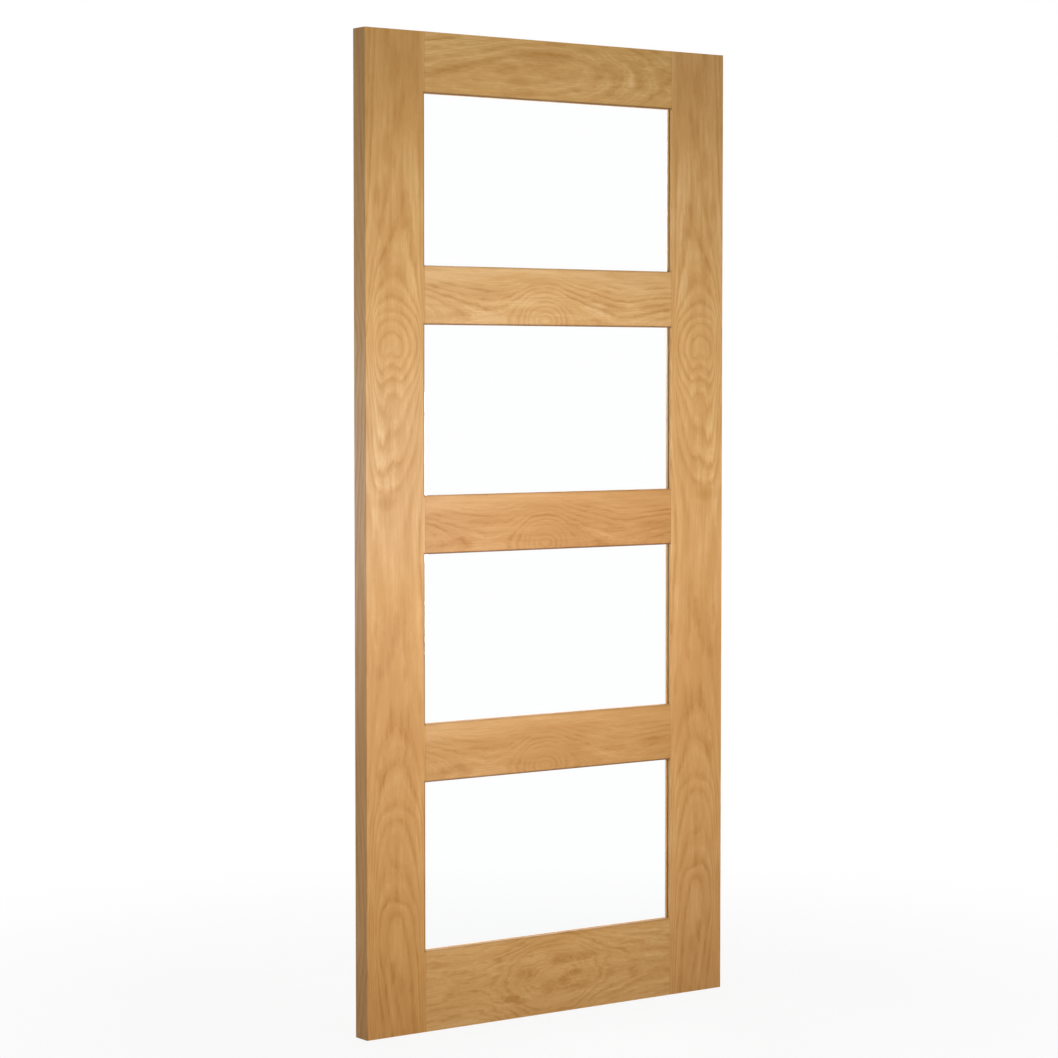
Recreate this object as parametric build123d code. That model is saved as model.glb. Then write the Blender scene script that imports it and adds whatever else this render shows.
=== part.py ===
from build123d import *
import os

# Glazed interior door leaf: an oak stile-and-rail frame with one column of clear lights.
#
# Frame: +X runs from the hinge edge to the latch edge, +Y from the front face to the back face,
# +Z up. The origin lies on the hinge edge, half-way through the leaf, at its foot. Millimetres.
#
# The stiles carry one rebate along their whole inner edge. The rails are scribed over it: their
# front shoulders stop at the stile's lip and their back shoulders run on to the rebate's wall.
# Each light is glazed from the back: tape, glass, tape, and four splayed beads, mitred together.

# The leaf
LEAF_WIDTH = 926.0
LEAF_HEIGHT = 2040.0
LEAF_THICKNESS = 44.0
LIGHT_COUNT = 4

# The frame's members, as wide as they show on the front face
STILE_WIDTH = 143.0
LIPPING_WIDTH = 10.0
TOP_RAIL_HEIGHT = 124.0
MID_RAIL_HEIGHT = 120.0
BOTTOM_RAIL_HEIGHT = 168.0

# The glazing rebate: the lip stands in front of the glass, the rebate is open to the back
LIP_DEPTH = 7.0
REBATE_WIDTH = 22.0

# The glass and what beds it
GLASS_THICKNESS = 6.0
GLASS_CLEARANCE = 3.0
TAPE_THICKNESS = 1.0
TAPE_WIDTH = 9.0
TAPE_SETBACK = 1.0

# The glazing beads at the back: a square nose on the glass, then a splay up to a narrow flat
BEAD_SETBACK = 1.5
BEAD_NOSE = 3.0
BEAD_FLAT = 4.0

# Sharp edges taken off: the leaf's long edges and the front of every light
EDGE_RADIUS = 2.0
LIGHT_RADIUS = 2.0

# Planes across the thickness, from front to back
FRONT = -LEAF_THICKNESS / 2
BACK = LEAF_THICKNESS / 2
SEAT = FRONT + LIP_DEPTH
GLASS_FRONT = SEAT + TAPE_THICKNESS
GLASS_BACK = GLASS_FRONT + GLASS_THICKNESS
BEAD_FRONT = GLASS_BACK + TAPE_THICKNESS
BEAD_BACK = BACK - BEAD_SETBACK

# Lines across the width: what shows of a light runs from sight line to sight line
SIGHT_LEFT = STILE_WIDTH
SIGHT_RIGHT = LEAF_WIDTH - STILE_WIDTH
LIGHT_WIDTH = SIGHT_RIGHT - SIGHT_LEFT
LEAF_MIDDLE = LEAF_WIDTH / 2

# Lines up the height
MID_RAILS_HEIGHT = (LIGHT_COUNT - 1) * MID_RAIL_HEIGHT
LIGHT_HEIGHT = (LEAF_HEIGHT - TOP_RAIL_HEIGHT - BOTTOM_RAIL_HEIGHT - MID_RAILS_HEIGHT) / LIGHT_COUNT


def light_bottom(number):
    """The lower sight line of a light. Lights are numbered from the top, from 1."""
    top = LEAF_HEIGHT - TOP_RAIL_HEIGHT - (number - 1) * (LIGHT_HEIGHT + MID_RAIL_HEIGHT)
    return top - LIGHT_HEIGHT


def block(x_low, x_high, y_low, y_high, z_low, z_high):
    """A plain block between two corners."""
    corner = (x_low, y_low, z_low)
    return Pos(*corner) * Box(x_high - x_low, y_high - y_low, z_high - z_low, align=(Align.MIN,) * 3)


def on_latch_side(shape):
    """The shape's mirror image at the other edge of the leaf."""
    return mirror(shape, about=Plane.YZ.offset(LEAF_MIDDLE))


def light_round_over(number):
    """What a round-over cutter takes off the front edges of a light, mitred at its corners."""
    low, high = light_bottom(number), light_bottom(number) + LIGHT_HEIGHT
    edge = Plane(origin=(SIGHT_LEFT, FRONT, low + LIGHT_HEIGHT / 2), x_dir=(1, 0, 0), z_dir=(0, 0, 1))
    corner = edge * (Rectangle(LIGHT_RADIUS, LIGHT_RADIUS, align=(Align.MAX, Align.MIN)))
    rounding = edge * Pos(-LIGHT_RADIUS, LIGHT_RADIUS) * Circle(LIGHT_RADIUS)
    path = Polyline(
        (SIGHT_LEFT, FRONT, low + LIGHT_HEIGHT / 2),
        (SIGHT_LEFT, FRONT, high),
        (SIGHT_RIGHT, FRONT, high),
        (SIGHT_RIGHT, FRONT, low),
        (SIGHT_LEFT, FRONT, low),
        close=True,
    )
    return sweep(corner - rounding, path=path, transition=Transition.RIGHT)


def stile():
    """The hinge stile's core, an L in plan with its rebate along the whole height."""
    core = block(LIPPING_WIDTH, SIGHT_LEFT, FRONT, BACK, 0, LEAF_HEIGHT)
    return core - block(SIGHT_LEFT - REBATE_WIDTH, SIGHT_LEFT, SEAT, BACK, 0, LEAF_HEIGHT)


def lipping():
    """The solid strip glued to the hinge stile's outer edge, with its long edges eased."""
    strip = block(0, LIPPING_WIDTH, FRONT, BACK, 0, LEAF_HEIGHT)
    outer_edges = strip.edges().filter_by(Axis.Z).group_by(Axis.X)[0]
    return fillet(outer_edges, EDGE_RADIUS)


def rail(z_low, z_high, light_below, light_above):
    """A rail with a rebate towards each light it borders, scribed over the stiles' lips."""
    rebate_low = REBATE_WIDTH if light_below else 0
    rebate_high = REBATE_WIDTH if light_above else 0
    lip = block(SIGHT_LEFT, SIGHT_RIGHT, FRONT, SEAT, z_low, z_high)
    back_left, back_right = SIGHT_LEFT - REBATE_WIDTH, SIGHT_RIGHT + REBATE_WIDTH
    body = block(back_left, back_right, SEAT, BACK, z_low + rebate_low, z_high - rebate_high)
    return lip + body


def around_light(number, margin, y_low, y_high):
    """A block that reaches past a light's sight lines by a margin."""
    low, high = light_bottom(number), light_bottom(number) + LIGHT_HEIGHT
    return block(SIGHT_LEFT - margin, SIGHT_RIGHT + margin, y_low, y_high, low - margin, high + margin)


def glass(number):
    """A pane, clear of the rebate's walls all round."""
    return around_light(number, REBATE_WIDTH - GLASS_CLEARANCE, GLASS_FRONT, GLASS_BACK)


def tape(number, y_low):
    """A flat ring of glazing tape round a light, a little behind its sight lines."""
    y_high = y_low + TAPE_THICKNESS
    sheet = around_light(number, TAPE_SETBACK + TAPE_WIDTH, y_low, y_high)
    return sheet - around_light(number, TAPE_SETBACK, y_low, y_high)


def bead(middle_x, middle_z, sight_length, out):
    """A splayed bead along one sight line, mitred at both ends.

    middle_x and middle_z are the middle of the sight line, and out is the way from there to the
    rebate's wall.
    """
    run = out.cross(Vector(0, 1, 0))
    middle = Vector(middle_x, 0, middle_z)
    outline = Polyline(
        (0, BEAD_FRONT),
        (0, BEAD_FRONT + BEAD_NOSE),
        (REBATE_WIDTH - BEAD_FLAT, BEAD_BACK),
        (REBATE_WIDTH, BEAD_BACK),
        (REBATE_WIDTH, BEAD_FRONT),
        close=True,
    )
    profile = Plane(origin=middle, x_dir=out, z_dir=run) * make_face(outline)
    strip = extrude(profile, amount=sight_length / 2 + REBATE_WIDTH, both=True)
    for along in (run, run * -1):
        mitre = Plane(origin=middle + along * (sight_length / 2), z_dir=along - out)
        strip = split(strip, bisect_by=mitre, keep=Keep.BOTTOM)
    return strip


def light_beads(number):
    """The four beads of a light, by name."""
    low, high = light_bottom(number), light_bottom(number) + LIGHT_HEIGHT
    middle_z = low + LIGHT_HEIGHT / 2
    return {
        f"bead_{number}_top": bead(LEAF_MIDDLE, high, LIGHT_WIDTH, Vector(0, 0, 1)),
        f"bead_{number}_bottom": bead(LEAF_MIDDLE, low, LIGHT_WIDTH, Vector(0, 0, -1)),
        f"bead_{number}_hinge_side": bead(SIGHT_LEFT, middle_z, LIGHT_HEIGHT, Vector(-1, 0, 0)),
        f"bead_{number}_latch_side": bead(SIGHT_RIGHT, middle_z, LIGHT_HEIGHT, Vector(1, 0, 0)),
    }


def frame_members():
    """The stiles, their lippings and the rails, by name, with the lights' front edges eased."""
    lights = range(1, LIGHT_COUNT + 1)
    members = {"hinge_stile": stile(), "latch_stile": on_latch_side(stile())}
    members["top_rail"] = rail(LEAF_HEIGHT - TOP_RAIL_HEIGHT, LEAF_HEIGHT, True, False)
    for number in lights[:-1]:
        z_high = light_bottom(number)
        members[f"mid_rail_{number}"] = rail(z_high - MID_RAIL_HEIGHT, z_high, True, True)
    members["bottom_rail"] = rail(0, BOTTOM_RAIL_HEIGHT, False, True)
    for number in lights:
        cutter = light_round_over(number)
        for name, member in members.items():
            members[name] = member - cutter
    members["hinge_lipping"] = lipping()
    members["latch_lipping"] = on_latch_side(lipping())
    return members


def glazing():
    """The panes, their tapes and their beads, by name."""
    pieces = {}
    for number in range(1, LIGHT_COUNT + 1):
        pieces[f"glass_{number}"] = glass(number)
        pieces[f"front_tape_{number}"] = tape(number, SEAT)
        pieces[f"back_tape_{number}"] = tape(number, GLASS_BACK)
        pieces.update(light_beads(number))
    return pieces


def main():
    """Builds every piece and writes each one to its own file."""
    os.makedirs("parts", exist_ok=True)
    for name, piece in {**frame_members(), **glazing()}.items():
        export_step(piece, f"parts/{name}.step")


main()
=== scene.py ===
import math

import bmesh
import bpy
from bpy.props import FloatProperty, FloatVectorProperty, PointerProperty
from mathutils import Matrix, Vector


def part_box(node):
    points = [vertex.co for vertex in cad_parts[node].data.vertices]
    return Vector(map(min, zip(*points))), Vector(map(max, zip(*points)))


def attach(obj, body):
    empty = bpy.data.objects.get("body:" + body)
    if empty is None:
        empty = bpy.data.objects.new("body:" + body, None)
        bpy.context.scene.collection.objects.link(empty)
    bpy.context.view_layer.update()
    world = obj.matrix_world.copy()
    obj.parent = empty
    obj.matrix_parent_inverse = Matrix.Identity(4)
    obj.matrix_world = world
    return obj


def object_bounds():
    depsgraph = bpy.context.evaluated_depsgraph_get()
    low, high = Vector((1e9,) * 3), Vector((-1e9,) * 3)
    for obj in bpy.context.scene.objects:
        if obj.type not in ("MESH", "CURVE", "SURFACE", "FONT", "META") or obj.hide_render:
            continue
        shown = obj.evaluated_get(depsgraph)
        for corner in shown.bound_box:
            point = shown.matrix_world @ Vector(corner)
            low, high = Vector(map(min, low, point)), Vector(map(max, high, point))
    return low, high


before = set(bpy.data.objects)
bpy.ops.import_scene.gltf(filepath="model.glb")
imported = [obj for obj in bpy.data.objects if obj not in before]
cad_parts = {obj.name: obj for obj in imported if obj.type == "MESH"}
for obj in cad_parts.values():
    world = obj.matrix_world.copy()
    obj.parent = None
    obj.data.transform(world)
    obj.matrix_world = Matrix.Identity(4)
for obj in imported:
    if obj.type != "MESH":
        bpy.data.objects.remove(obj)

# Finish and studio for a glazed oak door leaf.
#
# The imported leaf's solids keep their shapes and get their finishes here. Oak is worked out board by
# board, as growth rings round a pith line that wanders behind the front face, so the figure runs on
# round every edge. Metres, in the leaf's own frame: +X from the hinge edge to the latch edge, +Y
# from the front face to the back face, +Z up.

CAD_LOW, CAD_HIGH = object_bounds()

bl_info = {
    "name": "Glazed Oak Door",
    "version": (1, 0, 0),
    "blender": (4, 5, 0),
    "location": "3D View > Sidebar > Door",
    "description": "Finishes a glazed oak door leaf and sets up its studio",
    "category": "Object",
}

# The leaf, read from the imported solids
BODY = "root"
LIGHTS = range(1, 5)
MID_RAILS = range(1, 4)
FRONT, BACK = CAD_LOW.y, CAD_HIGH.y
LEAF_HEIGHT = CAD_HIGH.z - CAD_LOW.z
MIDDLE = (CAD_LOW + CAD_HIGH) / 2
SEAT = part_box("front_tape_1")[0].y
SIGHT_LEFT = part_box("hinge_stile")[1].x
SHOULDER_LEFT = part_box("top_rail")[0].x
SHOULDER_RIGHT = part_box("top_rail")[1].x
LIGHTS_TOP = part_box("top_rail")[0].z
LIGHTS_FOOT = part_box("bottom_rail")[1].z
RAIL_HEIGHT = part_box("mid_rail_1")[1].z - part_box("mid_rail_1")[0].z
LIGHT_PITCH = (LIGHTS_TOP - LIGHTS_FOOT + RAIL_HEIGHT) / len(LIGHTS)

# The beads of a light, and the way from the glass out to the frame at each
OUTWARD = {
    "top": Vector((0, 0, 1)),
    "bottom": Vector((0, 0, -1)),
    "hinge_side": Vector((-1, 0, 0)),
    "latch_side": Vector((1, 0, 0)),
}

# Painted shade round a light, at its hinge side and its rails: it is full this near to the edge, ends
# this far from it, and shows on a stile only this deep behind the front face. On the sills it is weaker.
EDGE_SHADE_FULL = 0.0010
EDGE_SHADE_END = 0.0050
EDGE_SHADE_DEPTH = 0.0025
SILL_SHADE = 0.35

# How far along a rail its joint with a stile shows
JOINT_REACH = 0.0014

# The colour turns warmer and darker towards the foot, fully below the first height and not at all
# above the second. A painted sheen makes the hinge stile paler and cooler about a height, fully up to
# the first distance from it and not at all from the second on.
LOW_TINT_HEIGHTS = (0.75, 1.45)
PAINTED_SHEEN_HEIGHT = 1.15
PAINTED_SHEEN_REACH = (0.06, 0.30)

# How far a face's normal lies along the grain where end grain starts to show and where it is full
END_GRAIN = (0.6, 0.9)

# The furthest that a pith line lies behind the front face or beside the board's middle
DEEPEST_PITH = 0.16
WIDEST_DRIFT = 0.10

# How deep the pith lies behind the front face at places along the grain. A shallow stretch is an
# eye in the figure, and a slope is a run of arches.
STILE_PITH = (
    (0.00, 0.049), (0.10, 0.047), (0.20, 0.046), (0.245, 0.050), (0.285, 0.0625), (0.355, 0.075),
    (0.437, 0.0875), (0.473, 0.100), (0.56, 0.1125), (0.66, 0.125), (0.80, 0.134), (0.95, 0.135),
    (1.09, 0.125), (1.144, 0.1125), (1.20, 0.100), (1.28, 0.0875), (1.321, 0.075), (1.3475, 0.0625),
    (1.379, 0.050), (1.404, 0.043), (1.429, 0.050), (1.457, 0.0625), (1.475, 0.075), (1.50, 0.0875),
    (1.55, 0.100), (1.62, 0.110), (2.04, 0.125),
)
MID_RAIL_PITH = (
    (0.14, 0.040), (0.20, 0.051), (0.26, 0.060), (0.32, 0.0625), (0.38, 0.047), (0.445, 0.006),
    (0.51, 0.043), (0.57, 0.056), (0.66, 0.0625), (0.72, 0.056), (0.78, 0.048),
)
TOP_RAIL_PITH = (
    (0.14, 0.074), (0.30, 0.066), (0.44, 0.063), (0.54, 0.069), (0.582, 0.075), (0.639, 0.0875),
    (0.693, 0.100), (0.747, 0.1125), (0.78, 0.118),
)
BOTTOM_RAIL_PITH = (
    (0.14, 0.086), (0.20, 0.088), (0.26, 0.090), (0.32, 0.080), (0.38, 0.058), (0.44, 0.036),
    (0.50, 0.038), (0.56, 0.062), (0.64, 0.084), (0.78, 0.096),
)
BEAD_PITH = ((0.0, 0.150), (2.04, 0.150))

# How far the pith lies beside the board's middle, towards the latch edge or the top
STILE_DRIFT = (
    (0.0, 0.026), (0.10, 0.012), (0.20, -0.004), (0.30, -0.008), (0.49, -0.004), (0.70, -0.002),
    (1.10, -0.026), (1.20, -0.028), (1.40, -0.016), (1.50, -0.012), (1.66, 0.014), (2.04, 0.034),
)
MID_RAIL_DRIFT = (
    (0.14, -0.034), (0.24, -0.042), (0.34, -0.044), (0.445, -0.042), (0.55, -0.048), (0.66, -0.060),
    (0.78, -0.064),
)
TOP_RAIL_DRIFT = ((0.14, -0.046), (0.30, -0.022), (0.44, -0.006), (0.60, -0.004), (0.78, -0.006))
BOTTOM_RAIL_DRIFT = ((0.14, 0.000), (0.26, 0.004), (0.36, -0.006), (0.60, -0.002), (0.78, -0.006))
BEAD_DRIFT = ((0.0, 0.06), (2.04, 0.06))

# The mid rails are cut from one log, each this much further up it than the drift says
MID_RAIL_RAISES = (-0.006, -0.003, -0.003)

# Knots, flames and pale patches: along, across, half their length, half their width, how dark they
# are and how far they push the rings aside
STILE_MARKS = (
    (1.95, 0.0, 0.120, 0.080, 0.06, 0.0),
    (1.97, -0.010, 0.040, 0.014, 0.24, 0.0),
    (1.885, -0.060, 0.050, 0.005, 0.14, 0.0),
    (1.880, 0.014, 0.060, 0.004, 0.11, 0.0),
    (1.875, -0.022, 0.060, 0.004, 0.15, 0.0),
    (1.860, -0.005, 0.028, 0.004, 0.14, 0.0),
    (1.805, -0.028, 0.032, 0.006, 0.16, 0.0),
    (1.708, -0.048, 0.020, 0.007, 0.18, 0.0),
    (1.700, 0.013, 0.016, 0.006, 0.16, 0.0),
    (1.645, -0.016, 0.055, 0.004, 0.16, 0.0),
    (1.643, -0.037, 0.020, 0.010, 0.14, 0.0),
    (1.578, -0.027, 0.022, 0.010, 0.18, 0.0),
    (1.66, 0.042, 0.160, 0.022, -0.16, 0.0),
    (1.51, 0.0, 0.120, 0.080, 0.07, 0.0),
    (1.33, -0.015, 0.055, 0.016, 0.0, 0.009),
    (1.20, -0.016, 0.060, 0.014, 0.06, 0.005),
    # The next four pale patches, half-way up the stiles, are partly pale figure and partly painted sheen
    (1.208, -0.042, 0.040, 0.013, -0.16, 0.0),
    (1.214, -0.006, 0.040, 0.009, -0.12, 0.0),
    (1.165, -0.033, 0.026, 0.026, -0.15, 0.0),
    (1.122, -0.030, 0.018, 0.030, -0.14, 0.0),
    (1.088, -0.030, 0.012, 0.026, 0.12, 0.0),
    (0.833, -0.003, 0.030, 0.007, 0.22, 0.0),
    (0.828, -0.053, 0.020, 0.005, 0.15, 0.0),
    (0.812, 0.014, 0.030, 0.004, 0.15, 0.0),
    (0.800, -0.013, 0.024, 0.004, 0.18, 0.0),
    (0.765, -0.023, 0.022, 0.0045, 0.18, 0.0),
    (0.744, -0.042, 0.014, 0.010, 0.13, 0.0),
    (0.740, 0.016, 0.014, 0.0045, 0.20, 0.0),
    (0.655, -0.018, 0.028, 0.004, 0.17, 0.0),
    (0.650, 0.0, 0.190, 0.080, 0.10, 0.0),
    (0.650, 0.024, 0.028, 0.004, 0.17, 0.0),
    (0.635, 0.008, 0.024, 0.004, 0.17, 0.0),
    (0.612, -0.028, 0.034, 0.004, 0.18, 0.0),
    (0.595, 0.019, 0.026, 0.0045, 0.17, 0.0),
    (0.560, -0.035, 0.030, 0.005, 0.15, 0.0),
    (0.530, -0.040, 0.018, 0.010, 0.16, 0.0),
    (0.405, -0.006, 0.016, 0.018, 0.06, 0.0),
    (0.362, 0.003, 0.014, 0.016, 0.06, 0.003),
    (0.322, -0.008, 0.016, 0.018, 0.05, 0.003),
    (0.280, 0.000, 0.014, 0.016, 0.06, 0.003),
    (0.245, -0.006, 0.014, 0.020, 0.05, 0.0),
    (0.160, -0.034, 0.022, 0.007, 0.18, 0.0),
    (0.132, -0.014, 0.022, 0.007, 0.20, 0.0),
    (0.106, 0.006, 0.020, 0.008, 0.16, 0.0),
    # The last, broad mark is painted shade that darkens the foot of the stiles
    (0.045, 0.0, 0.110, 0.090, 0.12, 0.0),
)
MID_RAIL_MARKS = (
    (0.630, -0.024, 0.030, 0.006, 0.20, 0.0),
    (0.740, -0.017, 0.050, 0.008, 0.18, 0.0),
    (0.224, -0.037, 0.020, 0.006, 0.16, 0.0),
    (0.310, 0.004, 0.050, 0.005, 0.12, 0.0),
    (0.280, -0.019, 0.040, 0.010, -0.12, 0.0),
    (0.305, -0.040, 0.050, 0.012, -0.12, 0.0),
    (0.600, -0.040, 0.030, 0.012, -0.10, 0.0),
    (0.574, -0.025, 0.030, 0.010, -0.12, 0.0),
)
RED_RAIL_MARKS = (
    (0.480, -0.010, 0.110, 0.050, 0.12, 0.0),
    (0.720, 0.000, 0.080, 0.060, 0.06, 0.0),
)
TOP_RAIL_MARKS = (
    (0.44, 0.0285, 0.070, 0.010, 0.26, 0.0),
    (0.21, -0.009, 0.050, 0.008, 0.18, 0.0),
    (0.31, 0.001, 0.060, 0.009, 0.15, 0.0),
    (0.600, 0.014, 0.022, 0.010, 0.18, 0.005),
    (0.632, -0.006, 0.016, 0.016, 0.18, -0.005),
    (0.675, -0.006, 0.012, 0.018, -0.20, 0.0),
    (0.690, 0.022, 0.018, 0.012, 0.18, 0.005),
    (0.697, -0.012, 0.016, 0.012, 0.18, 0.0),
    (0.770, 0.008, 0.030, 0.016, 0.14, -0.004),
)
BOTTOM_RAIL_MARKS = (
    (0.460, 0.0, 0.130, 0.060, 0.07, 0.0),
    (0.360, -0.042, 0.016, 0.007, 0.60, -0.010),
    (0.382, -0.049, 0.018, 0.006, 0.35, 0.0),
    (0.397, 0.005, 0.025, 0.009, 0.25, 0.008),
    (0.493, 0.026, 0.026, 0.008, 0.28, -0.010),
    (0.547, 0.028, 0.026, 0.008, 0.28, 0.0),
    (0.526, -0.003, 0.014, 0.006, 0.35, 0.010),
    (0.497, -0.020, 0.016, 0.010, 0.28, -0.010),
    (0.455, -0.028, 0.018, 0.012, 0.22, 0.008),
    (0.543, -0.032, 0.022, 0.008, 0.28, -0.008),
    (0.430, 0.030, 0.030, 0.016, -0.10, 0.010),
    (0.676, -0.005, 0.022, 0.008, 0.15, 0.0),
)

# How each board's colour differs from the finish
TOP_RAIL_TINT = (1.07, 1.13, 1.23)
MID_RAIL_TINTS = ((1.055, 1.11, 1.35), (0.925, 0.88, 0.91), (0.97, 0.98, 1.07))
BOTTOM_RAIL_TINT = (1.02, 1.09, 1.23)
STILE_TINTS = {"hinge": (0.98, 0.97, 0.94), "latch": (1.03, 1.05, 1.18)}

# Noise in the wood: how fast it changes along the grain, across it and in depth, its detail, its
# roughness and what it adds to the board's seed
WANDER = ((6.0, 0.0, 0.0), 2.0, 0.5, 0.0)
RIPPLE = ((9.0, 46.0, 46.0), 3.0, 0.6, 3.0)
WAVE = ((50.0, 110.0, 110.0), 2.0, 0.5, 4.0)
RAGGED = ((16.0, 420.0, 420.0), 3.0, 0.6, 5.0)
PATCH = ((14.0, 46.0, 46.0), 3.0, 0.6, 9.0)
FIBRE = ((11.0, 330.0, 330.0), 4.0, 0.62, 11.0)
STREAK = ((3.0, 26.0, 26.0), 2.0, 0.5, 17.0)
FLAME = ((9.0, 70.0, 70.0), 3.0, 0.55, 19.0)
PORE = ((70.0, 1500.0, 1500.0), 2.0, 0.6, 23.0)
OUTLINE = ((60.0, 240.0, 240.0), 4.0, 0.65, 29.0)

# Noise from ring to ring
SEASON = ((0.37, 0.0, 0.0), 1.0, 0.5, 7.0)

# How far noise moves the pith, in metres, and a line, in rings
WANDER_SWING = 0.004
SEASON_SWING = 0.45
RAGGED_SWING = 0.20

# The edge of a mark: how far noise moves it, and where the mark starts to fade and ends
OUTLINE_SWING = 2.0
MARK_FADE = (-0.2, 2.4)

# The grain of a calm board has settled this many times as far out as calm says, and there it keeps
# this share of the pith's rise and fall
CALM_END = 1.7
CALM_SHARE = 0.45

# How dark a ring is, from its line through the pale wood to the next line, and how many fine lines
# it holds
RING_SHADES = ((0.0, 1.0), (0.15, 0.68), (0.40, 0.2), (0.70, 0.0), (0.89, 0.25), (1.0, 1.0))
FINE_LINES = 3.0

# What is left of a line in the faintest year, in a quiet stretch and next to the pith, and how many
# rings from the pith it starts to grow and is whole
FAINT_YEAR = 0.3
QUIET_LINE = 0.2
PITH_LINE = 0.3
PITH_RINGS = (0.5, 2.5)

# The stretches of their noise in which lines come and go and in which pores show
PATCH_SPAN = (0.36, 0.62)
PORE_SPAN = (0.58, 0.72)

# The tone runs from 0, dark, to 1, light: what it is between lines, and what changes it
PLAIN_TONE = 0.61
LINE_TONE = -0.50
PORE_TONE = -0.22
PALE_TONE = 0.9
FIBRE_SWING = 0.22
FLAME_SWING = 0.24
STREAK_SWING = 0.22
TONE_STOPS = (0.05, 0.5, 0.95)

# How far a pale patch spares the lines, and what share of the pores lies between lines
LINES_SPARED = 0.9
PORES_BETWEEN = 0.3

# The lacquered surface: lines are rougher, and lines and pores are a little sunk
LINE_ROUGHNESS = 0.12
LINE_SINK = 0.3
GRAIN_BUMP = {"Strength": 0.35, "Distance": 0.0003}

# A filler's outline from inside the bead to its top, as shares of its radius and of how far it
# stands proud, and how many corners go round it
FILLER_OUTLINE = ((1.0, -4.0), (1.0, 0.0), (0.94, 0.55), (0.80, 0.90), (0.45, 1.0))
FILLER_SPOKES = 16

# Filler, glass and tape: the scale of their mottle, waves and cells, and how these stand out
FILLER_MOTTLE = (900.0, 900.0, 900.0)
FILLER_STOPS = (0.3, 0.7)
GLASS_WAVES = (6.0, 6.0, 6.0)
GLASS_BUMP = {"Strength": 0.02, "Distance": 0.001}
TAPE_CELLS = 1800.0
TAPE_STOPS = (0.1, 0.8)
TAPE_BUMP = {"Strength": 0.3, "Distance": 0.0002}

# A face that is part of a bead's splay leans at least this far to the back and to the glass
SPLAY_LEAN = 0.2

# The lamps: where each stands, where it points, its width and height, and the spread of its light
LAMPS = {
    "key": ((0.30, -1.95, 1.12), (MIDDLE.x, FRONT, 1.08), (0.9, 0.7), 2.4),
    "sheen": ((1.74, -3.08, 0.87), (0.07, FRONT, 1.05), (0.8, 0.85), 1.0),
    "side": ((-1.90, -0.60, 1.22), (0.0, 0.0, 1.22), (0.8, 0.8), 2.0),
    "latch": ((2.90, 0.30, 1.20), (CAD_HIGH.x, 0.0, 1.06), (0.8, 0.8), 2.0),
    "rim": ((-1.97, 3.07, 1.00), (0.0, 0.0, 1.16), (0.7, 0.7), 1.0),
    "top": ((MIDDLE.x, 0.0, 4.20), (MIDDLE.x, 0.0, LEAF_HEIGHT), (1.2, 0.2), 1.2),
    "back": ((2.2, 3.4, 2.4), (MIDDLE.x, BACK, MIDDLE.z), (2.2, 2.2), 2.0),
}

# The floor: its radius and corners, its mottle and two greys, how far from the leaf it starts to
# turn white and is white, and how white it is under the leaf
FLOOR_RADIUS = 30.0
FLOOR_CORNERS = 96
FLOOR_MOTTLE = (2.0, 2.0, 2.0)
FLOOR_GREYS = ((0.3, (0.58, 0.58, 0.58)), (0.7, (0.60, 0.60, 0.60)))
FLOOR_FADE = (0.5, 2.2)
FLOOR_WHITE = 0.90
WHITE = (1.0, 1.0, 1.0, 1.0)


class Board:
    """How one piece of oak was cut: the way of its grain, where its pith lies and its ring width.

    pith and drift say where the pith lies, and marks are its knots and flames. raise_by shifts the
    drift, for boards cut from one log. rings is the width of a year's ring. ripple and wave are how
    far the rings stray in long and in short bends. Further out than calm the grain runs straight.
    The lines fade over the stretch across the board that quiet names. fine is how dark the lines
    inside a ring are, and faintest is what is left of a line where it fades. Another seed gives other
    chance details. A mirrored board has the figure of its twin. tint is how its colour differs from
    the finish.
    """

    def __init__(self, node, upright, pith, drift, marks=(), raise_by=0.0, rings=0.0090, ripple=0.003,
                 wave=0.0018, calm=None, quiet=None, fine=0.20, faintest=0.10, seed=0.0, mirrored=False,
                 tint=(1.0, 1.0, 1.0)):
        low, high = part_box(node)
        self.upright = upright
        self.middle = (low.x + high.x) / 2 if upright else (low.z + high.z) / 2
        self.pith = pith
        self.drift = [(along, across + raise_by) for along, across in drift]
        self.marks = marks
        self.rings = rings
        self.ripple = ripple
        self.wave = wave
        self.calm = calm
        self.quiet = quiet
        self.fine = fine
        self.faintest = faintest
        self.seed = seed
        self.mirrored = mirrored
        self.tint = tint


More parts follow.
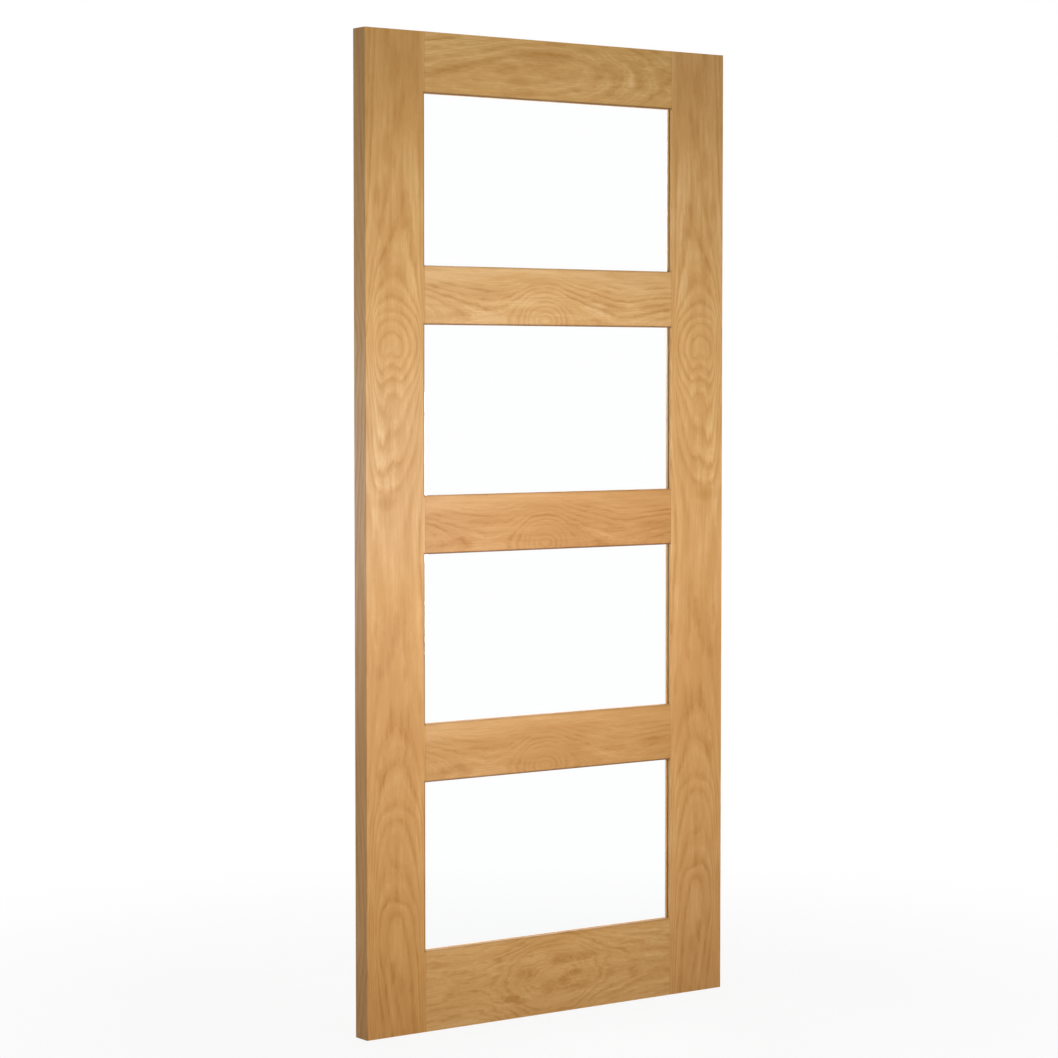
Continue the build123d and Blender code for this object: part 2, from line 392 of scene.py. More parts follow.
class Tree:
    """Adds nodes to a node tree, each linked to its inputs as it is made."""

    def __init__(self, tree):
        self.tree = tree

    def put(self, socket, value):
        """Links a socket to another one, or sets its value."""
        if isinstance(value, bpy.types.NodeSocket):
            self.tree.links.new(value, socket)
        else:
            socket.default_value = value

    def add(self, kind, inputs=None, **settings):
        """A node of a kind, with its settings and its inputs, which go by name or number."""
        node = self.tree.nodes.new(kind)
        for name, value in settings.items():
            setattr(node, name, value)
        for key, value in (inputs or {}).items():
            self.put(node.inputs[key], value)
        return node

    def math(self, operation, *values, clamp=False):
        """One step of arithmetic."""
        inputs = dict(enumerate(values))
        return self.add("ShaderNodeMath", inputs, operation=operation, use_clamp=clamp).outputs[0]

    def swing(self, value, amount, base):
        """A base moved by noise round 0.5, by an amount either way."""
        return self.math("MULTIPLY_ADD", self.math("SUBTRACT", value, 0.5), 2.0 * amount, base)

    def span(self, value, low, high, to_low=0.0, to_high=1.0):
        """A value taken from one range to another with a soft start and end, and kept inside it."""
        inputs = {"Value": value, "From Min": low, "From Max": high, "To Min": to_low, "To Max": to_high}
        return self.add("ShaderNodeMapRange", inputs, interpolation_type="SMOOTHSTEP").outputs[0]

    def axes(self, vector):
        """The three parts of a vector."""
        return self.add("ShaderNodeSeparateXYZ", {0: vector}).outputs

    def place(self):
        """Where a point lies in the leaf's frame."""
        return self.add("ShaderNodeTexCoord").outputs["Object"]

    def noise(self, place, scale, detail=2.0, roughness=0.5, seed=0.0):
        """Soft noise from 0 to 1 over a place, with a scale for each of its axes."""
        parts = [self.math("MULTIPLY", part, size) for part, size in zip(place, scale)]
        vector = self.add("ShaderNodeCombineXYZ", dict(enumerate(parts))).outputs[0]
        inputs = {"Vector": vector, "W": seed, "Scale": 1.0, "Detail": detail, "Roughness": roughness}
        return self.add("ShaderNodeTexNoise", inputs, noise_dimensions="4D").outputs[0]

    def ramp(self, value, stops):
        """A colour from a ramp of (place, colour) stops."""
        node = self.add("ShaderNodeValToRGB", {0: value})
        elements = node.color_ramp.elements
        while len(elements) < len(stops):
            elements.new(0.5)
        for element, (place, colour) in zip(elements, stops):
            element.position = place
            element.color = (*colour, 1.0)
        return node.outputs[0]

    def multiply_tint(self, colour, share, tint):
        """A colour multiplied by a tint where share is 1, and less of it where share is less."""
        node = self.add("ShaderNodeMix", data_type="RGBA", blend_type="MULTIPLY")
        factor, first, second = node.inputs[0], node.inputs[6], node.inputs[7]
        self.put(factor, share)
        self.put(first, colour)
        self.put(second, (*tint, 1.0))
        return node.outputs[2]


def new_material(name):
    """An empty node material, its tree and its output node."""
    material = bpy.data.materials.new(name)
    material.use_nodes = True
    material.node_tree.nodes.clear()
    tree = Tree(material.node_tree)
    return material, tree, tree.add("ShaderNodeOutputMaterial")


def dress(node, material):
    """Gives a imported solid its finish."""
    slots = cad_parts[node].data.materials
    slots.clear()
    slots.append(material)


def board_place(tree, board, place):
    """Where a point lies in its board: along the grain, across it and behind the front face."""
    x, y, z = tree.axes(place)
    along, across = (z, x) if board.upright else (x, z)
    across = tree.math("SUBTRACT", across, board.middle)
    if board.mirrored:
        across = tree.math("MULTIPLY", across, -1.0)
    return along, across, tree.math("SUBTRACT", y, FRONT)


def wood_noise(tree, board, place, kind):
    """One of the kinds of noise in the wood, with the board's own seed."""
    scale, detail, roughness, offset = kind
    return tree.noise(place, scale, detail, roughness, board.seed + offset)


def pith_curve(tree, along, points, low, high):
    """A smooth curve along the grain through (along, value) points, with values from low to high."""
    node = tree.add("ShaderNodeFloatCurve", {"Value": tree.math("DIVIDE", along, LEAF_HEIGHT)})
    knots = [(where / LEAF_HEIGHT, (value - low) / (high - low)) for where, value in points]
    curve = node.mapping.curves[0].points
    curve[0].location, curve[1].location = knots[0], knots[-1]
    for knot in knots[1:-1]:
        curve.new(*knot)
    node.mapping.update()
    return tree.math("MULTIPLY_ADD", node.outputs[0], high - low, low)


def marks_of(tree, board, spot):
    """How dark and how pale its board's marks make a point, and how far they push its rings aside."""
    dark, pale, push = 0.0, 0.0, 0.0
    outline = wood_noise(tree, board, spot, OUTLINE)
    for along, across, half_length, half_width, darkness, shove in board.marks:
        lengthwise = tree.math("MULTIPLY_ADD", spot[0], 1 / half_length, -along / half_length)
        sideways = tree.math("MULTIPLY_ADD", spot[1], 1 / half_width, -across / half_width)
        squared = tree.math("MULTIPLY", lengthwise, lengthwise)
        reach = tree.math("MULTIPLY_ADD", sideways, sideways, squared)
        share = tree.span(tree.swing(outline, OUTLINE_SWING, reach), *MARK_FADE, 1.0, 0.0)
        if darkness > 0.0:
            dark = tree.math("MULTIPLY_ADD", share, darkness, dark)
        if darkness < 0.0:
            pale = tree.math("MULTIPLY_ADD", share, -darkness, pale)
        if shove:
            push = tree.math("MULTIPLY_ADD", share, shove, push)
    return dark, pale, push


def ring_number(tree, board, spot, push):
    """How many growth rings lie between a point and its board's pith."""
    along, across, depth = spot
    squares = [(where, deep * deep) for where, deep in board.pith]
    pith_deep = tree.math("SQRT", pith_curve(tree, along, squares, 0.0, DEEPEST_PITH**2))
    if board.calm:
        steady = max(deep for _, deep in board.pith)
        off_middle = tree.math("ABSOLUTE", across)
        calm = tree.span(off_middle, board.calm, CALM_END * board.calm, 1.0, CALM_SHARE)
        pith_deep = tree.math("MULTIPLY_ADD", tree.math("SUBTRACT", pith_deep, steady), calm, steady)
    pith_across = pith_curve(tree, along, board.drift, -WIDEST_DRIFT, WIDEST_DRIFT)
    wander = wood_noise(tree, board, spot, WANDER)
    sideways = tree.math("SUBTRACT", across, tree.swing(wander, WANDER_SWING, pith_across))
    inwards = tree.math("SUBTRACT", pith_deep, depth)
    squared = tree.math("MULTIPLY_ADD", sideways, sideways, tree.math("MULTIPLY", inwards, inwards))
    ripple = wood_noise(tree, board, spot, RIPPLE)
    wave = wood_noise(tree, board, spot, WAVE)
    distance = tree.swing(ripple, board.ripple, tree.math("SQRT", squared))
    distance = tree.swing(wave, board.wave, distance)
    rings = tree.math("DIVIDE", tree.math("ADD", distance, push), board.rings)
    season = wood_noise(tree, board, (rings, 0.0, 0.0), SEASON)
    ragged = wood_noise(tree, board, spot, RAGGED)
    return tree.swing(ragged, RAGGED_SWING, tree.swing(season, SEASON_SWING, rings))


def ring_lines(tree, board, spot, ring):
    """How dark the year's lines make a point, as drawn and as they come and go along the board."""
    shade = tree.ramp(tree.math("FRACT", ring), [(place, (level,) * 3) for place, level in RING_SHADES])
    number = tree.math("ADD", tree.math("FLOOR", ring), board.seed)
    year = tree.add("ShaderNodeTexWhiteNoise", {"W": number}, noise_dimensions="1D").outputs[0]
    year = tree.math("MULTIPLY_ADD", year, 1.0 - FAINT_YEAR, FAINT_YEAR)
    patch = tree.span(wood_noise(tree, board, spot, PATCH), *PATCH_SPAN, board.faintest, 1.0)
    patch = tree.math("MULTIPLY", patch, tree.span(ring, *PITH_RINGS, PITH_LINE, 1.0))
    if board.quiet:
        patch = tree.math("MULTIPLY", patch, tree.span(spot[1], *board.quiet, 1.0, QUIET_LINE))
    return shade, tree.math("MULTIPLY", shade, tree.math("MULTIPLY", year, patch))


def edge_shade_mask(tree, place, board):
    """Painted shade: 1 on the lights' front edges and just beside them, less on their sills, else 0."""
    x, y, z = tree.axes(place)
    left = tree.math("SUBTRACT", SIGHT_LEFT, x)
    foot, top = LIGHTS_FOOT - RAIL_HEIGHT / 2, LIGHTS_TOP + RAIL_HEIGHT / 2
    height = tree.math("MINIMUM", tree.math("MAXIMUM", z, foot), top)
    from_rail = tree.math("PINGPONG", tree.math("SUBTRACT", height, foot), LIGHT_PITCH / 2)
    beyond = tree.math("SUBTRACT", RAIL_HEIGHT / 2, from_rail)
    distance = tree.math("MAXIMUM", left, beyond)
    near = tree.span(distance, EDGE_SHADE_FULL, EDGE_SHADE_END, 1.0, 0.0)
    if board.upright:
        return tree.math("MULTIPLY", near, tree.math("LESS_THAN", y, FRONT + EDGE_SHADE_DEPTH))
    on_sill = tree.math("GREATER_THAN", z, board.middle)
    return tree.math("MULTIPLY", near, tree.math("MULTIPLY_ADD", on_sill, SILL_SHADE - 1.0, 1.0))


def near_shoulder(tree, place):
    """1 at the rails' ends, where they meet the stiles, and 0 elsewhere."""
    x, y, _ = tree.axes(place)
    left = tree.math("SUBTRACT", x, SHOULDER_LEFT)
    right = tree.math("SUBTRACT", SHOULDER_RIGHT, x)
    lip = tree.math("MULTIPLY", tree.math("LESS_THAN", y, SEAT), SIGHT_LEFT - SHOULDER_LEFT)
    distance = tree.math("SUBTRACT", tree.math("MINIMUM", left, right), lip)
    return tree.span(distance, 0.0, JOINT_REACH, 1.0, 0.0)


def with_tints_and_painted_light(tree, board, place, colour, finish, in_frame):
    """A board's colour with its end grain, its tints and painted sheen up the leaf, painted shade at the
    lights' edges and its joints.
    """
    height = tree.axes(place)[2]
    normal = tree.axes(tree.add("ShaderNodeNewGeometry").outputs["Normal"])
    lengthwise = tree.math("ABSOLUTE", normal[2 if board.upright else 0])
    colour = tree.multiply_tint(colour, tree.span(lengthwise, *END_GRAIN), finish.end_tint)
    colour = tree.multiply_tint(colour, tree.span(height, *LOW_TINT_HEIGHTS, 1.0, 0.0), finish.low_tint)
    # Painted sheen: paler and cooler half-way up the hinge stile
    if board.calm and not board.mirrored:
        from_sheen = tree.math("ABSOLUTE", tree.math("SUBTRACT", height, PAINTED_SHEEN_HEIGHT))
        colour = tree.multiply_tint(colour, tree.span(from_sheen, *PAINTED_SHEEN_REACH, 1.0, 0.0), finish.painted_sheen_tint)
    # Painted shade along the hinge-side and rail edges of the lights
    if in_frame and not board.mirrored:
        colour = tree.multiply_tint(colour, edge_shade_mask(tree, place, board), finish.painted_edge_shade)
    if in_frame and not board.upright:
        colour = tree.multiply_tint(colour, near_shoulder(tree, place), finish.joint_tint)
    return colour


def oak_material(name, board, finish, in_frame=True):
    """Lacquered oak for one board. A board of the frame also shows its joints and painted shade at the
    lights' edges.
    """
    material, tree, output = new_material(name)
    place = tree.place()
    spot = board_place(tree, board, place)
    dark, pale, push = marks_of(tree, board, spot)
    ring = ring_number(tree, board, spot, push)
    shade, line = ring_lines(tree, board, spot, ring)
    fine = tree.math("PINGPONG", tree.math("MULTIPLY", ring, FINE_LINES), 0.5)
    fibre = wood_noise(tree, board, spot, FIBRE)
    streak = wood_noise(tree, board, spot, STREAK)
    flame = wood_noise(tree, board, spot, FLAME)
    in_lines = tree.math("MULTIPLY_ADD", line, 1.0 - PORES_BETWEEN, PORES_BETWEEN)
    pore = tree.span(wood_noise(tree, board, spot, PORE), *PORE_SPAN)
    pore = tree.math("MULTIPLY", pore, in_lines)
    tone = tree.math("SUBTRACT", tree.math("MULTIPLY_ADD", line, LINE_TONE, PLAIN_TONE), dark)
    between = tree.math("MULTIPLY_ADD", shade, -LINES_SPARED, 1.0)
    tone = tree.math("MULTIPLY_ADD", tree.math("MULTIPLY", pale, between), PALE_TONE, tone)
    tone = tree.math("MULTIPLY_ADD", fine, -board.fine, tone)
    for noise, amount in ((streak, STREAK_SWING), (flame, FLAME_SWING), (fibre, FIBRE_SWING)):
        tone = tree.swing(noise, amount, tone)
    tone = tree.math("MULTIPLY_ADD", pore, PORE_TONE, tone, clamp=True)
    tinted = [[part * share for part, share in zip(colour, board.tint)]
              for colour in (finish.dark, finish.middle, finish.light)]
    colour = tree.ramp(tone, tuple(zip(TONE_STOPS, tinted)))
    colour = with_tints_and_painted_light(tree, board, place, colour, finish, in_frame)
    roughness = tree.math("MULTIPLY_ADD", line, LINE_ROUGHNESS, finish.roughness)
    relief = tree.math("MULTIPLY_ADD", line, -LINE_SINK, tree.math("MULTIPLY", pore, -1.0))
    bump = tree.add("ShaderNodeBump", {**GRAIN_BUMP, "Height": relief})
    shader = tree.add("ShaderNodeBsdfPrincipled", {
        "Base Color": colour, "Roughness": roughness, "Normal": bump.outputs[0],
        "Specular IOR Level": finish.shine})
    tree.put(output.inputs["Surface"], shader.outputs[0])
    return material


class OakFinish(bpy.types.PropertyGroup):
    """The colours and the shine of the lacquered oak, with its painted shade and painted sheen."""

    dark: FloatVectorProperty(
        name="Dark Grain", description="Colour of the darkest grain lines",
        subtype="COLOR", default=(0.405, 0.186, 0.037), min=0.0, max=1.0)
    middle: FloatVectorProperty(
        name="Middle Tone", description="Colour of the wood between the lines",
        subtype="COLOR", default=(0.53, 0.285, 0.082), min=0.0, max=1.0)
    light: FloatVectorProperty(
        name="Light Tone", description="Colour of the palest wood",
        subtype="COLOR", default=(0.694, 0.437, 0.183), min=0.0, max=1.0)
    # Painted shade: this darkens the lights' edges at the hinge side and along the rails
    painted_edge_shade: FloatVectorProperty(
        name="Painted Edge Shade", description="How the lacquer darkens the edges of the lights",
        subtype="COLOR", default=(0.40, 0.32, 0.24), min=0.0, max=1.0)
    joint_tint: FloatVectorProperty(
        name="Joint Tint", description="How the joints darken the ends of the rails",
        subtype="COLOR", default=(0.72, 0.66, 0.58), min=0.0, max=1.0)
    end_tint: FloatVectorProperty(
        name="End Tint", description="How much darker the end grain is",
        subtype="COLOR", default=(0.62, 0.56, 0.50), min=0.0, max=1.0)
    low_tint: FloatVectorProperty(
        name="Low Tint", description="How much warmer and darker the wood is towards the foot",
        subtype="COLOR", default=(0.975, 0.905, 0.838), min=0.0, max=1.0)
    # Painted sheen: this pales and cools the hinge stile half-way up
    painted_sheen_tint: FloatVectorProperty(
        name="Painted Sheen Tint", description="How much cooler the hinge stile is half-way up",
        subtype="COLOR", default=(1.0, 1.04, 1.25), min=0.0, max=2.0)
    roughness: FloatProperty(
        name="Roughness", description="Roughness of the satin lacquer",
        subtype="FACTOR", default=0.42, min=0.0, max=1.0)
    shine: FloatProperty(
        name="Shine", description="How much light the lacquer mirrors",
        subtype="FACTOR", default=0.30, min=0.0, max=1.0)


class DOOR_OT_frame_members(bpy.types.Operator):
    """Finish the stiles, their lippings and the rails in oak"""

    bl_idname = "door.frame_members"
    bl_label = "Oak Frame"

    def execute(self, context):
        finish = context.scene.door_oak
        boards = {
            "top_rail": Board(
                "top_rail", False, TOP_RAIL_PITH, TOP_RAIL_DRIFT, TOP_RAIL_MARKS, rings=0.0125,
                ripple=0.007, fine=0.24, seed=4.0, tint=TOP_RAIL_TINT),
            "bottom_rail": Board(
                "bottom_rail", False, BOTTOM_RAIL_PITH, BOTTOM_RAIL_DRIFT, BOTTOM_RAIL_MARKS,
                ripple=0.014, fine=0.24, seed=5.0, tint=BOTTOM_RAIL_TINT),
        }
        for side, tint in STILE_TINTS.items():
            node = f"{side}_stile"
            boards[node] = Board(
                node, True, STILE_PITH, STILE_DRIFT, STILE_MARKS, rings=0.0125, calm=0.045,
                fine=0.10, faintest=0.35, seed=1.0, mirrored=side == "latch", tint=tint)
        for number, raise_by, tint in zip(MID_RAILS, MID_RAIL_RAISES, MID_RAIL_TINTS):
            node = f"mid_rail_{number}"
            marks = MID_RAIL_MARKS + (RED_RAIL_MARKS if number > 1 else ())
            boards[node] = Board(
                node, False, MID_RAIL_PITH, MID_RAIL_DRIFT, marks, raise_by, rings=0.0095,
                wave=0.0030, quiet=(0.012, 0.042), seed=2.0 + 0.13 * number, tint=tint)
        for node, board in boards.items():
            dress(node, oak_material(f"oak_{node}", board, finish))
        for side in STILE_TINTS:
            dress(f"{side}_lipping", bpy.data.materials[f"oak_{side}_stile"])
        return {"FINISHED"}


class DOOR_OT_beads(bpy.types.Operator):
    """Finish the glazing beads in straight-grained oak"""

    bl_idname = "door.beads"
    bl_label = "Glazing Beads"

    def execute(self, context):
        finish = context.scene.door_oak
        for number in LIGHTS:
            for turn, side in enumerate(OUTWARD):
                node = f"bead_{number}_{side}"
                upright = side.endswith("_side")
                seed = number + 0.2 * turn
                board = Board(node, upright, BEAD_PITH, BEAD_DRIFT, rings=0.0024, seed=seed)
                dress(node, oak_material(f"oak_{node}", board, finish, in_frame=False))
        return {"FINISHED"}


class PinSizes(bpy.types.PropertyGroup):
    """The filled pin holes in the glazing beads."""

    radius: FloatProperty(
        name="Radius", description="Radius of a filled hole", default=0.0016, unit="LENGTH")
    proud: FloatProperty(
        name="Proud", description="How far the filler stands up from the bead",
        default=0.00015, unit="LENGTH")
    gap: FloatProperty(
        name="Gap", description="Longest gap between two pins", default=0.16, unit="LENGTH")
    margin: FloatProperty(
        name="Margin", description="From a bead's mitre to its first pin", default=0.035, unit="LENGTH")
    dark: FloatVectorProperty(
        name="Dark Wax", description="Darker colour of the filler",
        subtype="COLOR", default=(0.23, 0.105, 0.028), min=0.0, max=1.0)
    light: FloatVectorProperty(
        name="Light Wax", description="Lighter colour of the filler",
        subtype="COLOR", default=(0.34, 0.165, 0.050), min=0.0, max=1.0)


def filler_material(dark, light):
    """Brown wax, a little mottled."""
    material, tree, output = new_material("pin_filler")
    mottle = tree.noise(tree.axes(tree.place()), FILLER_MOTTLE, detail=3.0)
    colour = tree.ramp(mottle, tuple(zip(FILLER_STOPS, (dark, light))))
    shader = tree.add("ShaderNodeBsdfPrincipled", {"Base Color": colour, "Roughness": 0.5})
    tree.put(output.inputs["Surface"], shader.outputs[0])
    return material


def add_filler(builder, centre, normal, sizes):
    """A plug of filler, from a little way inside the bead up to a low dome with a flat top."""
    turn = normal.to_track_quat("Z", "Y")
    rings = []
    for reach, rise in FILLER_OUTLINE:
        ring = []
        for spoke in range(FILLER_SPOKES):
            angle = math.tau * spoke / FILLER_SPOKES
            out = Vector((math.cos(angle), math.sin(angle), 0.0)) * sizes.radius * reach
            out.z = rise * sizes.proud
            ring.append(builder.verts.new(centre + turn @ out))
        rings.append(ring)
    for lower, upper in zip(rings, rings[1:]):
        for spoke in range(FILLER_SPOKES):
            after = (spoke + 1) % FILLER_SPOKES
            builder.faces.new((lower[spoke], lower[after], upper[after], upper[spoke]))
    builder.faces.new(rings[-1])
    builder.faces.new(rings[0][::-1])


def splay_of(node, out):
    """The middle of a bead's splay and the way the splay faces, from the bead's own largest slope."""
    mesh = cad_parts[node].data
    best, area = None, 0.0
    for face in mesh.polygons:
        slopes = face.normal.y > SPLAY_LEAN and face.normal.dot(out) < -SPLAY_LEAN
        if slopes and face.area > area:
            best, area = face, face.area
    low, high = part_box(node)
    middle = (low + high) / 2
    corners = [mesh.vertices[index].co for index in best.vertices]
    on_plane = sum(corners, Vector()) / len(corners)
    middle += best.normal * best.normal.dot(on_plane - middle)
    return middle, best.normal.copy()


class DOOR_OT_pins(bpy.types.Operator):
    """Add the filled pin holes in the glazing beads"""

    bl_idname = "door.pins"
    bl_label = "Bead Pins"

    def execute(self, context):
        sizes = context.scene.door_pins
        material = filler_material(sizes.dark, sizes.light)
        for number in LIGHTS:
            builder = bmesh.new()
            for side, out in OUTWARD.items():
                node = f"bead_{number}_{side}"
                middle, normal = splay_of(node, out)
                run = normal.cross(out).normalized()
                low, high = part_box(node)
                reach = abs((high - low).dot(run)) / 2 - (high.y - low.y) - sizes.margin
                count = math.ceil(2 * reach / sizes.gap) + 1
                for pin in range(count):
                    along = reach * (2 * pin / (count - 1) - 1)
                    add_filler(builder, middle + run * along, normal, sizes)
            mesh = bpy.data.meshes.new(f"bead_pins_{number}")
            builder.to_mesh(mesh)
            builder.free()
            mesh.shade_smooth()
            mesh.materials.append(material)
            piece = bpy.data.objects.new(f"bead_pins_{number}", mesh)
            context.scene.collection.objects.link(piece)
            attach(piece, BODY)
        return {"FINISHED"}


class GlazingFinish(bpy.types.PropertyGroup):
    """The glass and the tape that beds it."""

    glass: FloatVectorProperty(
        name="Glass", description="Colour of light that comes through a pane to the eye",
        subtype="COLOR", default=(0.985, 0.995, 0.990), min=0.0, max=1.0)
    lamplight: FloatVectorProperty(
        name="Lamplight", description="Share of the lamps' light that a pane lets by",
        subtype="COLOR", default=(0.96, 0.98, 0.97), min=0.0, max=1.0)
    tape_dark: FloatVectorProperty(
        name="Dark Tape", description="Colour of the tape in its cells",
        subtype="COLOR", default=(0.40, 0.225, 0.085), min=0.0, max=1.0)
    tape_light: FloatVectorProperty(
        name="Light Tape", description="Colour of the tape between its cells",
        subtype="COLOR", default=(0.52, 0.300, 0.120), min=0.0, max=1.0)


def glass_material(finish):
    """Clear float glass that lets lamps through."""
    material, tree, output = new_material("float_glass")
    waves = tree.noise(tree.axes(tree.place()), GLASS_WAVES, detail=1.0)
    bump = tree.add("ShaderNodeBump", {**GLASS_BUMP, "Height": waves})
    glass = tree.add("ShaderNodeBsdfPrincipled", {
        "Base Color": (*finish.glass, 1.0), "Roughness": 0.0, "IOR": 1.5,
        "Transmission Weight": 1.0, "Normal": bump.outputs[0]})
    clear = tree.add("ShaderNodeBsdfTransparent", {0: (*finish.lamplight, 1.0)})
    lets_by = tree.add("ShaderNodeLightPath").outputs["Is Shadow Ray"]
    mixed = tree.add("ShaderNodeMixShader", {0: lets_by, 1: glass.outputs[0], 2: clear.outputs[0]})
    tree.put(output.inputs["Surface"], mixed.outputs[0])
    return material


class DOOR_OT_glass(bpy.types.Operator):
    """Finish the panes as clear glass"""

    bl_idname = "door.glass"
    bl_label = "Glass"

    def execute(self, context):
        material = glass_material(context.scene.door_glazing)
        for number in LIGHTS:
            dress(f"glass_{number}", material)
        return {"FINISHED"}


def tape_material(finish):
    """Tan closed-cell foam tape."""
    material, tree, output = new_material("foam_tape")
    inputs = {"Vector": tree.place(), "Scale": TAPE_CELLS}
    cells = tree.add("ShaderNodeTexVoronoi", inputs).outputs["Distance"]
    colour = tree.ramp(cells, tuple(zip(TAPE_STOPS, (finish.tape_dark, finish.tape_light))))
    bump = tree.add("ShaderNodeBump", {**TAPE_BUMP, "Height": cells})
    shader = tree.add("ShaderNodeBsdfPrincipled", {
        "Base Color": colour, "Roughness": 0.85, "Normal": bump.outputs[0]})
    tree.put(output.inputs["Surface"], shader.outputs[0])
    return material


class DOOR_OT_tape(bpy.types.Operator):
    """Finish the glazing tape"""

    bl_idname = "door.tape"
    bl_label = "Glazing Tape"

    def execute(self, context):
        material = tape_material(context.scene.door_glazing)
        for number in LIGHTS:
            dress(f"front_tape_{number}", material)
            dress(f"back_tape_{number}", material)
        return {"FINISHED"}


class StudioSetup(bpy.types.PropertyGroup):
    """The camera and the light."""

    camera_place: FloatVectorProperty(
        name="Camera Place", description="Where the camera stands", subtype="TRANSLATION",
        default=(-3.290, -5.115, 1.343))
    camera_turn: FloatProperty(
        name="Camera Turn", description="Turn away from looking straight at the front face",
        subtype="ANGLE", default=math.radians(35.956))
    camera_drop: FloatProperty(
        name="Camera Drop", description="Tilt below the horizon",
        subtype="ANGLE", default=math.radians(2.883))
    lens: FloatProperty(
        name="Lens", description="Focal length in millimetres", default=102.74, min=1.0, unit="CAMERA")
    ambient: FloatProperty(
        name="Ambient", description="Level of the light from all round", default=0.2, min=0.0)
    key: FloatProperty(
        name="Key", description="Power of the lamp in front", default=15.5, unit="POWER")
    sheen: FloatProperty(
        name="Sheen", description="Power of the lamp that shows the satin", default=4.2, unit="POWER")
    side: FloatProperty(
        name="Side", description="Power of the lamp at the hinge edge", default=5.4, unit="POWER")
    latch: FloatProperty(
        name="Latch", description="Power of the lamp at the latch edge", default=3.6, unit="POWER")
    rim: FloatProperty(
        name="Rim", description="Power of the lamp behind the hinge edge", default=2.1, unit="POWER")
    top: FloatProperty(
        name="Top", description="Power of the lamp over the top edge", default=3.5, unit="POWER")
    back: FloatProperty(
        name="Back", description="Power of the lamp behind", default=36.0, unit="POWER")


def seen_as_white(tree):
    """1 for what the camera sees straight on, mirrored or through glass, and 0 for other light."""
    path = tree.add("ShaderNodeLightPath").outputs
    seen = tree.math("MAXIMUM", path["Is Camera Ray"], path["Is Transmission Ray"])
    return tree.math("MAXIMUM", seen, path["Is Glossy Ray"])


def add_lamp(name, power):
    """A soft lamp that points at its target and doesn't show itself."""
    place, target, size, spread = LAMPS[name]
    lamp = bpy.data.lights.new(name, "AREA")
    lamp.shape = "RECTANGLE"
    lamp.size, lamp.size_y = size
    lamp.energy = power
    lamp.spread = spread
    item = bpy.data.objects.new(name, lamp)
    item.location = place
    item.rotation_euler = (Vector(target) - Vector(place)).to_track_quat("-Z", "Y").to_euler()
    item.visible_camera = False
    item.visible_transmission = False
    bpy.context.scene.collection.objects.link(item)


def make_floor():
    """A wide pale floor that keeps the leaf's shadow and fades into the background."""
    mesh = bpy.data.meshes.new("floor")
    builder = bmesh.new()
    bmesh.ops.create_circle(builder, cap_ends=True, segments=FLOOR_CORNERS, radius=FLOOR_RADIUS)
    builder.to_mesh(mesh)
    builder.free()
    floor = bpy.data.objects.new("floor", mesh)
    floor.location = (MIDDLE.x, 0.0, CAD_LOW.z)
    bpy.context.scene.collection.objects.link(floor)
    material, tree, output = new_material("pale_floor")
    place = tree.place()
    colour = tree.ramp(tree.noise(tree.axes(place), FLOOR_MOTTLE), FLOOR_GREYS)
    matt = tree.add("ShaderNodeBsdfDiffuse", {"Color": colour})
    white = tree.add("ShaderNodeEmission", {"Color": WHITE, "Strength": 1.0})
    distance = tree.add("ShaderNodeVectorMath", {0: place}, operation="LENGTH").outputs["Value"]
    whiteness = tree.span(distance, *FLOOR_FADE, FLOOR_WHITE, 1.0)
    share = tree.math("MULTIPLY", seen_as_white(tree), whiteness)
    mixed = tree.add("ShaderNodeMixShader", {0: share, 1: matt.outputs[0], 2: white.outputs[0]})
    tree.put(output.inputs["Surface"], mixed.outputs[0])
    mesh.materials.append(material)


def make_world(scene, ambient):
    """White where it is seen, and a soft even light elsewhere."""
    scene.world = bpy.data.worlds.new("studio")
    scene.world.use_nodes = True
    scene.world.node_tree.nodes.clear()
    tree = Tree(scene.world.node_tree)
    level = tree.span(seen_as_white(tree), 0.0, 1.0, ambient, 1.0)
    background = tree.add("ShaderNodeBackground", {"Color": WHITE, "Strength": level})
    output = tree.add("ShaderNodeOutputWorld")
    tree.put(output.inputs["Surface"], background.outputs[0])


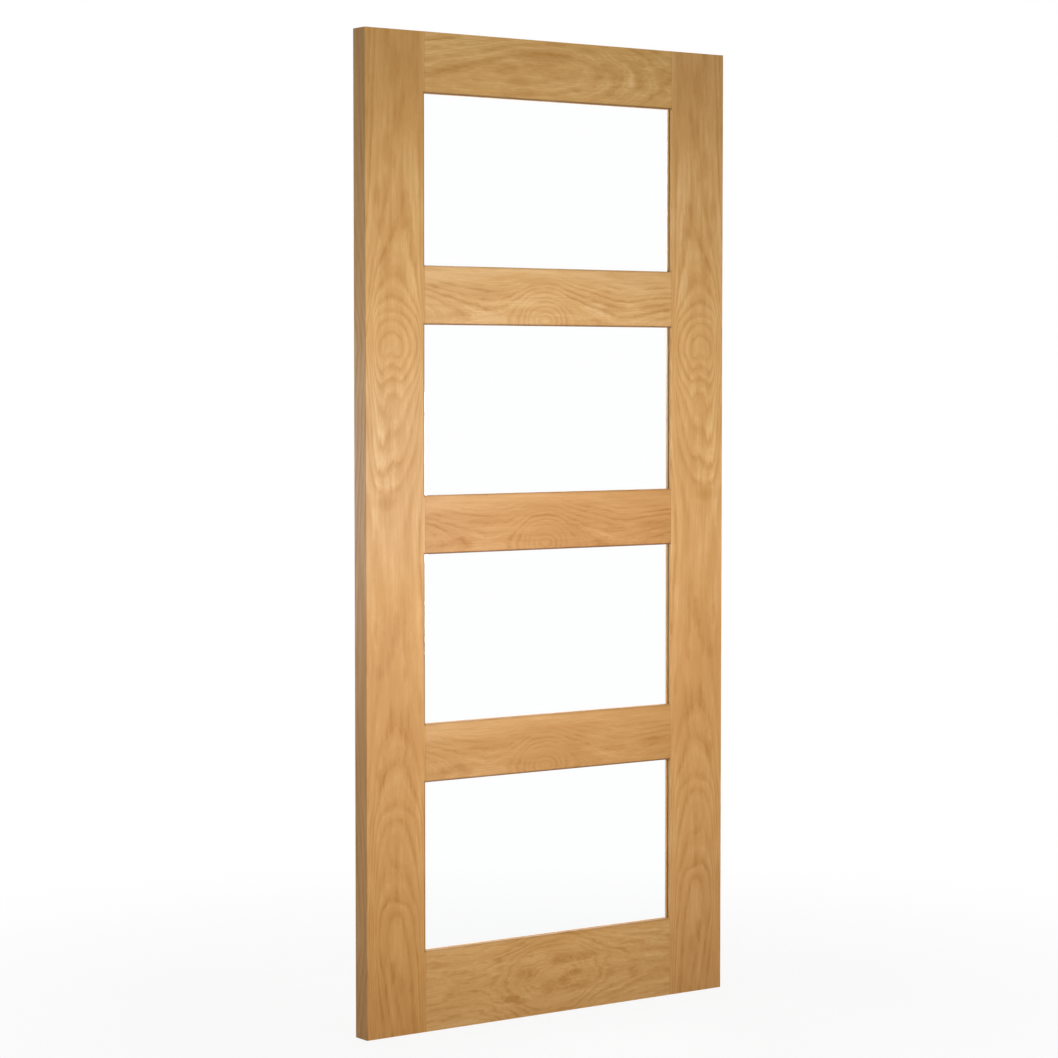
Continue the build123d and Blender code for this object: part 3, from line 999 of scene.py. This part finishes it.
def make_camera(scene, setup):
    """The camera at the setup's place, turn, drop and lens."""
    camera = bpy.data.cameras.new("camera")
    camera.lens = setup.lens
    item = bpy.data.objects.new("camera", camera)
    item.location = setup.camera_place
    item.rotation_euler = (math.pi / 2 - setup.camera_drop, 0.0, -setup.camera_turn)
    scene.collection.objects.link(item)
    scene.camera = item


class DOOR_OT_studio(bpy.types.Operator):
    """Set up the floor, the light and the camera"""

    bl_idname = "door.studio"
    bl_label = "Studio"

    def execute(self, context):
        scene = context.scene
        setup = scene.door_studio
        make_floor()
        make_world(scene, setup.ambient)
        for name in LAMPS:
            add_lamp(name, getattr(setup, name))
        make_camera(scene, setup)
        scene.view_settings.view_transform = "Standard"
        return {"FINISHED"}


class DOOR_PT_finish(bpy.types.Panel):
    """The door's finishes and studio"""

    bl_idname = "DOOR_PT_finish"
    bl_label = "Glazed Oak Door"
    bl_space_type = "VIEW_3D"
    bl_region_type = "UI"
    bl_category = "Door"

    def draw(self, context):
        for operator in OPERATORS:
            self.layout.operator(operator.bl_idname)
        for group in GROUPS:
            settings = getattr(context.scene, group)
            box = self.layout.box()
            for name in settings.bl_rna.properties.keys():
                if name not in {"rna_type", "name"}:
                    box.prop(settings, name)


GROUPS = {
    "door_oak": OakFinish,
    "door_pins": PinSizes,
    "door_glazing": GlazingFinish,
    "door_studio": StudioSetup,
}
OPERATORS = (
    DOOR_OT_frame_members, DOOR_OT_beads, DOOR_OT_pins, DOOR_OT_glass, DOOR_OT_tape, DOOR_OT_studio,
)
CLASSES = (*GROUPS.values(), *OPERATORS, DOOR_PT_finish)


def register():
    for item in CLASSES:
        bpy.utils.register_class(item)
    for name, group in GROUPS.items():
        setattr(bpy.types.Scene, name, PointerProperty(type=group))


def unregister():
    for name in GROUPS:
        delattr(bpy.types.Scene, name)
    for item in reversed(CLASSES):
        bpy.utils.unregister_class(item)


def main():
    """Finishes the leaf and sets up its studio."""
    register()
    bpy.ops.door.frame_members()
    bpy.ops.door.beads()
    bpy.ops.door.pins()
    bpy.ops.door.glass()
    bpy.ops.door.tape()
    bpy.ops.door.studio()


if __name__ == "__main__":
    main()
